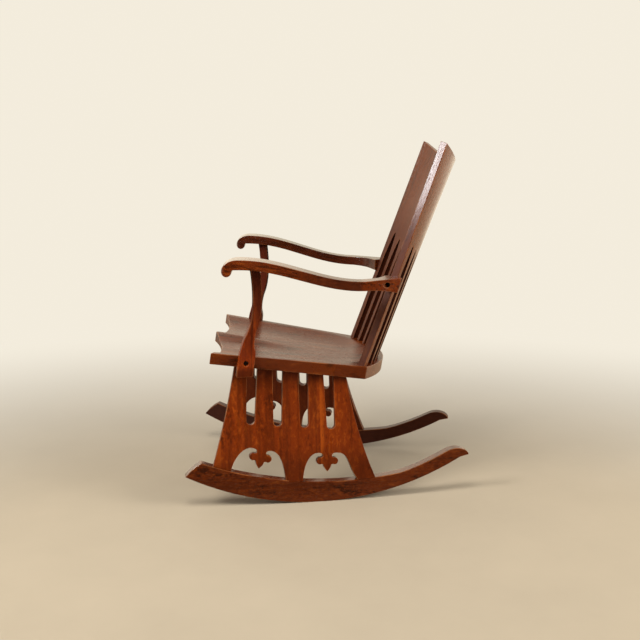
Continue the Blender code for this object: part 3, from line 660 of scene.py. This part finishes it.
def finish_piece(shape, name, node, material, crease=SHADE_TURN):
    """The finished mesh as a piece of the chair that stands for a CAD node."""
    mark = shape.faces.layers.float.get("eased")
    for face in shape.faces:
        face.smooth = True
    for edge in shape.edges:
        rounded = any(face[mark] for face in edge.link_faces)
        edge.smooth = edge.calc_face_angle(math.pi) < (SHADE_TURN if rounded else crease)
    mesh = bpy.data.meshes.new(name)
    shape.to_mesh(mesh)
    shape.free()
    mesh.materials.append(material)
    piece = bpy.data.objects.new(name, mesh)
    bpy.context.scene.collection.objects.link(piece)
    shading = piece.modifiers.new("flat faces", "WEIGHTED_NORMAL")
    shading.keep_sharp = True
    shading.weight = FLAT_WEIGHT
    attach(piece, "root")
    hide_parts(node)
    return piece


# Seat
def seat_frame():
    """Origin on the underside at the front, Y along the board to the rear."""
    return Matrix.Translation(SEAT_ORIGIN) @ Matrix.Rotation(-SEAT_TILT, 4, "X")


def seat_rise():
    """Turn of the upper face against the underside."""
    return math.atan2(SEAT_REAR_THICK - SEAT_FRONT_THICK, SEAT_SIDE)


def seat_plan(a, t):
    """A point of the seat's plan: a from -1 to 1 across, t from 0 at the front to 1 at the rear."""
    along = 1 - abs(a)
    front = -SEAT_CUSP * along + 4 * SEAT_SCALLOP * along * (1 - along)
    rear = SEAT_SIDE + SEAT_BOW * (1 - a * a)
    half = SEAT_FRONT_HALF + (SEAT_REAR_HALF - SEAT_FRONT_HALF) * t
    return a * half, front + (rear - front) * t


def soft_least(a, b, reach):
    """The lesser of two values, blended where they are close."""
    share = max(reach - abs(a - b), 0) / reach
    return min(a, b) - share * share * reach / 4


def dish_depth(x, s):
    """Depth of the dish: falls from a rim at the sides and rear, split by a ridge that dies out."""
    half = SEAT_FRONT_HALF + (SEAT_REAR_HALF - SEAT_FRONT_HALF) * s / SEAT_SIDE
    rear = DISH_REAR - DISH_REAR_BOW * (x / BACK_HALVES[0]) ** 2 - s
    inside = soft_least(half - DISH_SIDE_RIM - abs(x), rear, DISH_CORNER)
    ridge = math.exp(-(x / RIDGE_HALF) ** 2) * eased_step(1 - s / RIDGE_END)
    shape = settings().shape
    inside = (inside + math.hypot(inside, DISH_LIP)) / 2
    fall = 1 - (1 - min(inside / DISH_SLOPE, 1)) ** 2
    return shape.dish_depth * fall * (1 - shape.ridge * ridge)


def seat_top(x, s):
    """Height of the saddled upper face over the underside."""
    return SEAT_FRONT_THICK + s * math.tan(seat_rise()) - dish_depth(x, s)


class CHAIR_OT_make_seat(Operator):
    """Saddled seat board with a ridge between the legs"""
    bl_idname = "chair.make_seat"
    bl_label = "Seat"

    def execute(self, context):
        shape = bmesh.new()
        bmesh.ops.create_grid(shape, x_segments=SEAT_CELLS[0], y_segments=SEAT_CELLS[1], size=1)
        for vert in shape.verts:
            vert.co = (*seat_plan(vert.co.x, (vert.co.y + 1) / 2), 0)
        raised = bmesh.ops.extrude_face_region(shape, geom=shape.faces[:])["geom"]
        for vert in raised:
            if isinstance(vert, bmesh.types.BMVert):
                vert.co.z = seat_top(vert.co.x, vert.co.y)
        bmesh.ops.recalc_face_normals(shape, faces=shape.faces)
        ease(shape, settings().edges.seat)
        lay_grain(shape, Vector((0, 1, 0)), Vector((1, 0, 0)), Vector((0, 0, 1)), TREE_STEP * 1)
        bmesh.ops.transform(shape, matrix=seat_frame(), verts=shape.verts)
        finish_piece(shape, "seat_board", "seat", oak_material("seat_oak"))
        return {"FINISHED"}


# Back
def back_frame():
    """Origin on the seat between the back's front corners, Z up the lean."""
    top = seat_frame() @ Matrix.Translation((0, 0, SEAT_FRONT_THICK)) @ Matrix.Rotation(seat_rise(), 4, "X")
    origin = top @ Vector((0, BACK_S, 0))
    return Matrix.Translation(origin) @ Matrix.Rotation(-BACK_LEAN, 4, "X")


def back_point(q, h, depth):
    """A point of the bent board: q from -1 to 1 across it, depth behind its front face."""
    half = BACK_HALVES[0] + (BACK_HALVES[1] - BACK_HALVES[0]) * h / BACK_HEIGHT
    radius = BACK_RADII[0] + (BACK_RADII[1] - BACK_RADII[0]) * h / BACK_HEIGHT
    angle = q * math.asin(half / radius)
    y = (radius + depth) * math.cos(angle) - math.sqrt(radius ** 2 - half ** 2)
    return Vector(((radius + depth) * math.sin(angle), y, h))


def back_low(q):
    """Height of the board's lower end, a little below the seat's upper face."""
    lean = BACK_LEAN - SEAT_TILT + seat_rise()
    return (math.sin(lean) * back_point(q, 0, BACK_THICK / 2).y - BACK_TENON) / math.cos(lean)


def back_outline():
    """The board laid flat, a comb: slots from below, dipped top edge."""
    points = [(-1, back_low(-1))]
    for i in range(BACK_SLOTS):
        q = BACK_SLOT_PITCH * (i - (BACK_SLOTS - 1) / 2)
        tip = BACK_SLOT_TOP + BACK_SLOT_FAN * q * q
        foot = back_low(q)
        taper = [(share * BACK_SLOT_WIDTH / 2, tip - below) for below, share in SLOT_TAPER]
        (wide, deep), (narrow, high) = taper[0], taper[1]
        taper[0] = (wide + (narrow - wide) * (foot - deep) / (high - deep), foot)
        rising = [(q - w / BACK_FLAT_HALF, h) for w, h in taper]
        falling = [(q + w / BACK_FLAT_HALF, h) for w, h in reversed(taper)]
        points += rising + [(q, tip)] + falling
    points.append((1, back_low(1)))
    for i in range(BACK_TOP_STEPS + 1):
        q = 1 - 2 * i / BACK_TOP_STEPS
        x = back_point(q, BACK_HEIGHT, BACK_THICK / 2).x
        points.append((q, BACK_HEIGHT + BACK_TOP_DIP * (x / BACK_HALVES[1]) ** 2))
    return points


def cut_board(shape, place, across):
    """Cuts a board through, so that it can bend there."""
    everything = [*shape.verts, *shape.edges, *shape.faces]
    bmesh.ops.bisect_plane(shape, geom=everything, plane_co=place, plane_no=across, dist=CUT_REACH)


class CHAIR_OT_make_back(Operator):
    """Bent back board with long pointed slots"""
    bl_idname = "chair.make_back"
    bl_label = "Back"

    def execute(self, context):
        shape = bmesh.new()
        flat = [shape.verts.new((q * BACK_FLAT_HALF, h, 0)) for q, h in back_outline()]
        front = shape.faces.new(flat)
        front.normal_update()
        if front.normal.z > 0:
            front.normal_flip()
        raised = bmesh.ops.extrude_face_region(shape, geom=[front])["geom"]
        raised = [part for part in raised if isinstance(part, bmesh.types.BMVert)]
        bmesh.ops.translate(shape, vec=(0, 0, BACK_THICK), verts=raised)
        bmesh.ops.recalc_face_normals(shape, faces=shape.faces)
        ease(shape, settings().edges.back)
        mark_slots(shape, Vector((1, 0, 0)), BACK_FLAT_HALF * SLOT_WALLS_INSIDE)
        for i in range(1, BACK_BENDS):
            cut_board(shape, (BACK_FLAT_HALF * (2 * i / BACK_BENDS - 1), 0, 0), (1, 0, 0))
        for i in range(1, BACK_ROWS):
            cut_board(shape, (0, BACK_HEIGHT * i / BACK_ROWS, 0), (0, 1, 0))
        lay_grain(shape, Vector((0, 1, 0)), Vector((1, 0, 0)), Vector((0, 0, 1)), TREE_STEP * 2)
        for vert in shape.verts:
            vert.co = back_point(vert.co.x / BACK_FLAT_HALF, vert.co.y, vert.co.z)
        bmesh.ops.recalc_face_normals(shape, faces=shape.faces)
        bmesh.ops.transform(shape, matrix=back_frame(), verts=shape.verts)
        piece = finish_piece(shape, "back_board", "back_panel", oak_material("back_oak"))
        piece.data.materials.append(slot_shade_material())
        return {"FINISHED"}


# Sides
class CHAIR_OT_make_rockers(Operator):
    """Curved runners under the sides"""
    bl_idname = "chair.make_rockers"
    bl_label = "Rockers"

    def execute(self, context):
        material = oak_material("rocker_oak")
        for number, hand in enumerate(HANDS):
            node = f"rocker_{hand}"
            shape = cad_board(node)
            run, rise, normal = board_axes(shape)
            ease(shape, settings().edges.rocker, other_nodes(node))
            lay_grain(shape, run, rise, normal, TREE_STEP * (3 + number))
            paint_board_shade(shape, FAR_RUNNER_SHADE[hand], FAR_RUNNER_TOP_SHADE[hand])
            finish_piece(shape, f"runner_{hand}", node, material)
        return {"FINISHED"}


class CHAIR_OT_make_side_panels(Operator):
    """Pierced side panels with hanging trefoils"""
    bl_idname = "chair.make_side_panels"
    bl_label = "Side Panels"

    def execute(self, context):
        material = oak_material("side_oak")
        for number, hand in enumerate(HANDS):
            node = f"side_panel_{hand}"
            shape = cad_board(node)
            run, rise, normal = board_axes(shape)
            ease(shape, settings().edges.panel, other_nodes(node))
            start = TREE_STEP * (5 + number)
            start.y = side_start()
            lay_grain(shape, rise, run, normal, start)
            paint_board_shade(shape, FAR_SIDE_SHADE[hand])
            finish_piece(shape, f"pierced_side_{hand}", node, material)
        return {"FINISHED"}


# Arms
class CHAIR_OT_make_arms(Operator):
    """S-curved arms with a scrolled front end"""
    bl_idname = "chair.make_arms"
    bl_label = "Arms"

    def execute(self, context):
        material = oak_material("arm_oak")
        for number, hand in enumerate(HANDS):
            node = f"arm_{hand}"
            shape = cad_board(node)
            ease(shape, settings().edges.arm, other_nodes(node))
            along = Vector((0, math.cos(ARM_GRAIN), -math.sin(ARM_GRAIN)))
            across = Vector((0, math.sin(ARM_GRAIN), math.cos(ARM_GRAIN)))
            lay_grain(shape, along, across, Vector((1, 0, 0)), TREE_STEP * (7 + number))
            paint_board_shade(shape, FAR_ARM_SHADE[hand], FAR_ARM_SHADE[hand])
            finish_piece(shape, f"scrolled_arm_{hand}", node, material, ARM_SHADE_TURN)
        return {"FINISHED"}


class CHAIR_OT_make_arm_posts(Operator):
    """Swept posts between the seat and the arms"""
    bl_idname = "chair.make_arm_posts"
    bl_label = "Arm Posts"

    def execute(self, context):
        material = oak_material("post_oak")
        for number, hand in enumerate(HANDS):
            node = f"arm_post_{hand}"
            shape = cad_board(node)
            run, rise, normal = board_axes(shape)
            ease(shape, settings().edges.post, other_nodes(node))
            lay_grain(shape, rise, run, normal, TREE_STEP * (9 + number))
            paint_post_shade(shape, FAR_SIDE_SHADE[hand], POST_TOP_SHADE[hand], POST_FADE)
            finish_piece(shape, f"swept_post_{hand}", node, material)
        return {"FINISHED"}


class CHAIR_OT_finish_fasteners(Operator):
    """Finishes of the dowels in the joints and the screws in their holes"""
    bl_idname = "chair.finish_fasteners"
    bl_label = "Dowels and Screws"

    def execute(self, context):
        for kind, material in (("dowel", dowel_material()), ("screw", screw_material())):
            for thing in [node for name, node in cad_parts.items() if kind in name]:
                for slot in thing.material_slots:
                    slot.link = "OBJECT"
                    slot.material = material
        return {"FINISHED"}


# Stage
def add_lamp(name, place, size, power, shines):
    """A soft square lamp aimed at the chair; one that doesn't shine shows in no reflection."""
    lamp = bpy.data.lights.new(name, "AREA")
    lamp.shape = "SQUARE"
    lamp.size = size
    lamp.energy = power
    thing = bpy.data.objects.new(name, lamp)
    aim = (LAMP_AIM - Vector(place)).to_track_quat("-Z", "Y")
    thing.matrix_world = Matrix.Translation(place) @ aim.to_matrix().to_4x4()
    thing.visible_glossy = shines
    thing.visible_camera = False
    bpy.context.scene.collection.objects.link(thing)


def add_camera():
    """The camera where the photograph was taken from."""
    pitch, yaw, roll = CAMERA_PITCH, CAMERA_YAW, CAMERA_ROLL
    ahead = Vector((-math.cos(yaw) * math.cos(pitch), math.sin(yaw) * math.cos(pitch), -math.sin(pitch)))
    level = Vector((math.sin(yaw), math.cos(yaw), 0))
    below = ahead.cross(level)
    right = level * math.cos(roll) + below * math.sin(roll)
    down = below * math.cos(roll) - level * math.sin(roll)
    data = bpy.data.cameras.new("camera")
    data.lens = settings().stage.lens
    camera = bpy.data.objects.new("camera", data)
    turn = Matrix((right, -down, -ahead)).transposed().to_4x4()
    camera.matrix_world = Matrix.Translation(CAMERA_PLACE) @ turn
    bpy.context.scene.collection.objects.link(camera)
    bpy.context.scene.camera = camera


def floor_material():
    """Pale floor near the chair that runs out into the plain background."""
    stage = settings().stage
    material, tree, shader = new_material("stage_floor")
    place = own_place(tree)
    cloud = noise(tree, place, 3.5, 4.0, 0.6)
    path = put(tree, "ShaderNodeLightPath").outputs
    near = opaque(stage.floor_colour)
    seen = blend_colours(tree, cloud, opaque(stage.floor_colour, FLOOR_CLOUD), near)
    seen = blend_colours(tree, 1.0, seen, opaque(stage.floor_seen), "MULTIPLY")
    tree.links.new(blend_colours(tree, path["Is Camera Ray"], near, seen), shader.inputs["Base Color"])
    shader.inputs["Roughness"].default_value = 0.8
    shader.inputs["Specular IOR Level"].default_value = 0.2
    offset = vectors(tree, "SUBTRACT", place, FLOOR_CENTRE)
    reach = put(tree, "ShaderNodeVectorMath", {0: offset}, operation="LENGTH").outputs["Value"]
    backdrop = opaque(stage.backdrop_colour)
    strength = put(tree, "ShaderNodeMix", {0: path["Is Camera Ray"], 2: stage.dome, 3: 1.0}).outputs[0]
    plain = put(tree, "ShaderNodeEmission", {"Color": backdrop, "Strength": strength}).outputs[0]
    far = remap(tree, reach, *FLOOR_RUN_OUT)
    lit = put(tree, "ShaderNodeMixShader", {0: far, 1: shader.outputs["BSDF"], 2: plain}).outputs[0]
    toward = split_axes(tree, place)
    dim = remap(tree, toward["X"], *FLOOR_DIMS, 1.0, stage.studio_dim)
    dim = maths(tree, "MULTIPLY", dim, remap(tree, toward["Y"], *FLOOR_BEHIND, 1.0, stage.floor_rear))
    far = remap(tree, reach, *FLOOR_TO_STUDIO)
    tone = blend_colours(tree, far, opaque(stage.floor_tone), opaque(stage.studio_colour))
    mirror = put(tree, "ShaderNodeEmission", {"Color": tone, "Strength": dim}).outputs[0]
    glossy = maths(tree, "MAXIMUM", path["Is Glossy Ray"], path["Is Transmission Ray"])
    mixed = put(tree, "ShaderNodeMixShader", {0: glossy, 1: lit, 2: mirror})
    output = next(node for node in tree.nodes if node.bl_idname == "ShaderNodeOutputMaterial")
    tree.links.new(mixed.outputs["Shader"], output.inputs["Surface"])
    return material


def set_world():
    """A plain dome of light; what the camera and reflections see of it is the pale background."""
    stage = settings().stage
    world = bpy.data.worlds.new("studio")
    world.use_nodes = True
    tree = world.node_tree
    tree.nodes.clear()
    path = put(tree, "ShaderNodeLightPath").outputs
    dome = put(tree, "ShaderNodeBackground", {"Color": WHITE, "Strength": stage.dome}).outputs[0]
    pale = opaque(stage.backdrop_colour)
    seen = put(tree, "ShaderNodeBackground", {"Color": pale, "Strength": 1.0}).outputs[0]
    ray = put(tree, "ShaderNodeTexCoord").outputs["Generated"]
    toward = split_axes(tree, ray)
    dim = remap(tree, toward["X"], *STUDIO_DIMS, 1.0, stage.studio_dim)
    dim = maths(tree, "MULTIPLY", dim, remap(tree, toward["Y"], *STUDIO_FRONT, 1.0, stage.studio_front))
    warm = opaque(stage.studio_colour)
    mirrored = put(tree, "ShaderNodeBackground", {"Color": warm, "Strength": dim}).outputs[0]
    glossy = maths(tree, "MAXIMUM", path["Is Glossy Ray"], path["Is Transmission Ray"])
    lit = put(tree, "ShaderNodeMixShader", {0: glossy, 1: dome, 2: mirrored}).outputs[0]
    lit = put(tree, "ShaderNodeMixShader", {0: path["Is Camera Ray"], 1: lit, 2: seen}).outputs[0]
    put(tree, "ShaderNodeOutputWorld", {"Surface": lit})
    bpy.context.scene.world = world


class CHAIR_OT_make_stage(Operator):
    """Floor, light and camera"""
    bl_idname = "chair.make_stage"
    bl_label = "Stage"

    def execute(self, context):
        stage = settings().stage
        shape = bmesh.new()
        bmesh.ops.create_circle(shape, cap_ends=True, segments=FLOOR_SIDES, radius=FLOOR_RADIUS)
        mesh = bpy.data.meshes.new("stage_floor")
        shape.to_mesh(mesh)
        shape.free()
        mesh.materials.append(floor_material())
        floor = bpy.data.objects.new("stage_floor", mesh)
        context.scene.collection.objects.link(floor)
        for name, (place, size, shines) in LAMPS.items():
            add_lamp(name, place, size, getattr(stage, name), shines)
        set_world()
        add_camera()
        context.scene.view_settings.view_transform = "Standard"
        return {"FINISHED"}


# Settings a user would change
def length_setting(name, default, description):
    """A size in metres."""
    return FloatProperty(
        name=name, description=description, default=default, min=0, precision=4, unit="LENGTH")


def colour_setting(name, default, description):
    """A colour of a finish or of the stage."""
    return FloatVectorProperty(
        name=name, description=description, default=default, min=0, max=1, subtype="COLOR")


def share_setting(name, default, description):
    """A share from 0 to 1."""
    return FloatProperty(
        name=name, description=description, default=default, min=0, max=1, subtype="FACTOR")


def gain_setting(name, default, description):
    """A brightness, which may be above 1."""
    return FloatProperty(name=name, description=description, default=default, min=0)


def power_setting(name, default, description):
    """The power of a lamp."""
    return FloatProperty(name=name, description=description, default=default, min=0, unit="POWER")


class ChairFinish(PropertyGroup):
    """Stain and varnish of the oak, and the metal"""
    stain_dark: colour_setting("Dark Stain", (0.060, 0.0100, 0.0020), "Stain in the pores and dark rings")
    stain_middle: colour_setting("Middle Stain", (0.200, 0.0310, 0.0040), "Stain over most of the wood")
    stain_light: colour_setting("Light Stain", (0.400, 0.0850, 0.0110), "Stain on the ray flecks")
    worn_edge: colour_setting("Worn Edge", (0.360, 0.1250, 0.0340), "Wood where the edges are rubbed")
    # Pale colour of the painted light on the seat's rear edge
    rear_light_colour: colour_setting("Rear Painted Light", (0.260, 0.170, 0.110), "Dry wood on the seat's rear edge")
    dowel_colour: colour_setting("Dowels", (0.420, 0.260, 0.130), "Bare wood of the dowels")
    screw_colour: colour_setting("Screws", (0.140, 0.125, 0.110), "Steel of the screws")
    rust_colour: colour_setting("Rust", (0.045, 0.022, 0.012), "Brown on the screws")
    ring_width: length_setting("Ring Width", 0.0065, "Mean distance between growth rings")


class ChairEdges(PropertyGroup):
    """How far each kind of edge is eased"""
    seat: length_setting("Seat", 0.0020, "Rounding of the seat's rim")
    back: length_setting("Back", 0.0013, "Rounding of the back and its slats")
    panel: length_setting("Side Panels", 0.0014, "Rounding of the pierced panels")
    rocker: length_setting("Rockers", 0.0020, "Rounding of the rockers")
    arm: length_setting("Arms", 0.0017, "Rounding of the arms")
    post: length_setting("Posts", 0.0022, "Rounding of the arm posts")
    segments: IntProperty(
        name="Segments", description="Steps across a rounded edge", default=3, min=1, max=6)


class ChairShape(PropertyGroup):
    """Saddle of the seat"""
    dish_depth: length_setting("Dish Depth", 0.017, "Depth of the hollow in the seat")
    ridge: share_setting("Ridge", 0.92, "Height of the ridge between the legs, as a share of the dish")


class ChairStage(PropertyGroup):
    """Floor, light and lens"""
    floor_colour: colour_setting("Floor", (0.64, 0.55, 0.43), "Pale floor around the chair")
    floor_seen: colour_setting("Floor Shade", (0.78, 0.74, 0.66), "How much darker the floor looks")
    floor_tone: colour_setting("Floor Mirrored", (0.36, 0.26, 0.16), "The floor in reflections")
    backdrop_colour: colour_setting("Background", (0.90, 0.84, 0.72), "Plain pale background")
    studio_colour: colour_setting("Studio Mirrored", (0.86, 0.76, 0.58), "The studio in reflections")
    dome: share_setting("Dome", 0.28, "Even light from all round")
    studio_dim: share_setting("Studio", 0.02, "Brightness behind the camera in reflections")
    floor_rear: gain_setting("Floor Behind", 2.0, "Brightness of the floor behind the chair in reflections")
    studio_front: gain_setting("Studio in Front", 1.5, "Brightness before the chair in reflections")
    window: power_setting("Window", 40, "Power of the lamp in front")
    key: power_setting("Key Lamp", 24, "Power of the main lamp")
    right_fill: power_setting("Right Lamp", 66, "Power of the lamp behind")
    far_fill: power_setting("Far Lamp", 14, "Power of the far side's lamp")
    lens: FloatProperty(name="Lens", description="Focal length", default=51.76, min=1, unit="CAMERA")


class ChairSettings(PropertyGroup):
    """All settings of the chair's looks"""
    finish: PointerProperty(type=ChairFinish, name="Finish", description="Stain, varnish and metal")
    edges: PointerProperty(type=ChairEdges, name="Edges", description="Easing of the edges")
    shape: PointerProperty(type=ChairShape, name="Shape", description="Saddle of the seat")
    stage: PointerProperty(type=ChairStage, name="Stage", description="Floor, light and lens")


STEPS = (
    CHAIR_OT_make_rockers, CHAIR_OT_make_side_panels, CHAIR_OT_make_seat, CHAIR_OT_make_back,
    CHAIR_OT_make_arms, CHAIR_OT_make_arm_posts, CHAIR_OT_finish_fasteners, CHAIR_OT_make_stage,
)


class CHAIR_PT_maker(Panel):
    """Lists the chair's settings and the steps that make it"""
    bl_idname = "CHAIR_PT_maker"
    bl_label = "Rocking Chair"
    bl_space_type = "VIEW_3D"
    bl_region_type = "UI"
    bl_category = "Rocking Chair"

    def draw(self, context):
        for group in (settings().finish, settings().edges, settings().shape, settings().stage):
            box = self.layout.box()
            for key in group.__annotations__:
                box.prop(group, key)
        for step in STEPS:
            self.layout.operator(step.bl_idname)


CLASSES = (ChairFinish, ChairEdges, ChairShape, ChairStage, ChairSettings, *STEPS, CHAIR_PT_maker)


def register():
    for kind in CLASSES:
        bpy.utils.register_class(kind)
    bpy.types.Scene.rocking_chair = PointerProperty(type=ChairSettings)


def unregister():
    del bpy.types.Scene.rocking_chair
    for kind in reversed(CLASSES):
        bpy.utils.unregister_class(kind)


def main():
    """Makes every piece in order."""
    register()
    for step in STEPS:
        area, _, call = step.bl_idname.partition(".")
        getattr(getattr(bpy.ops, area), call)()


if __name__ == "__main__":
    main()
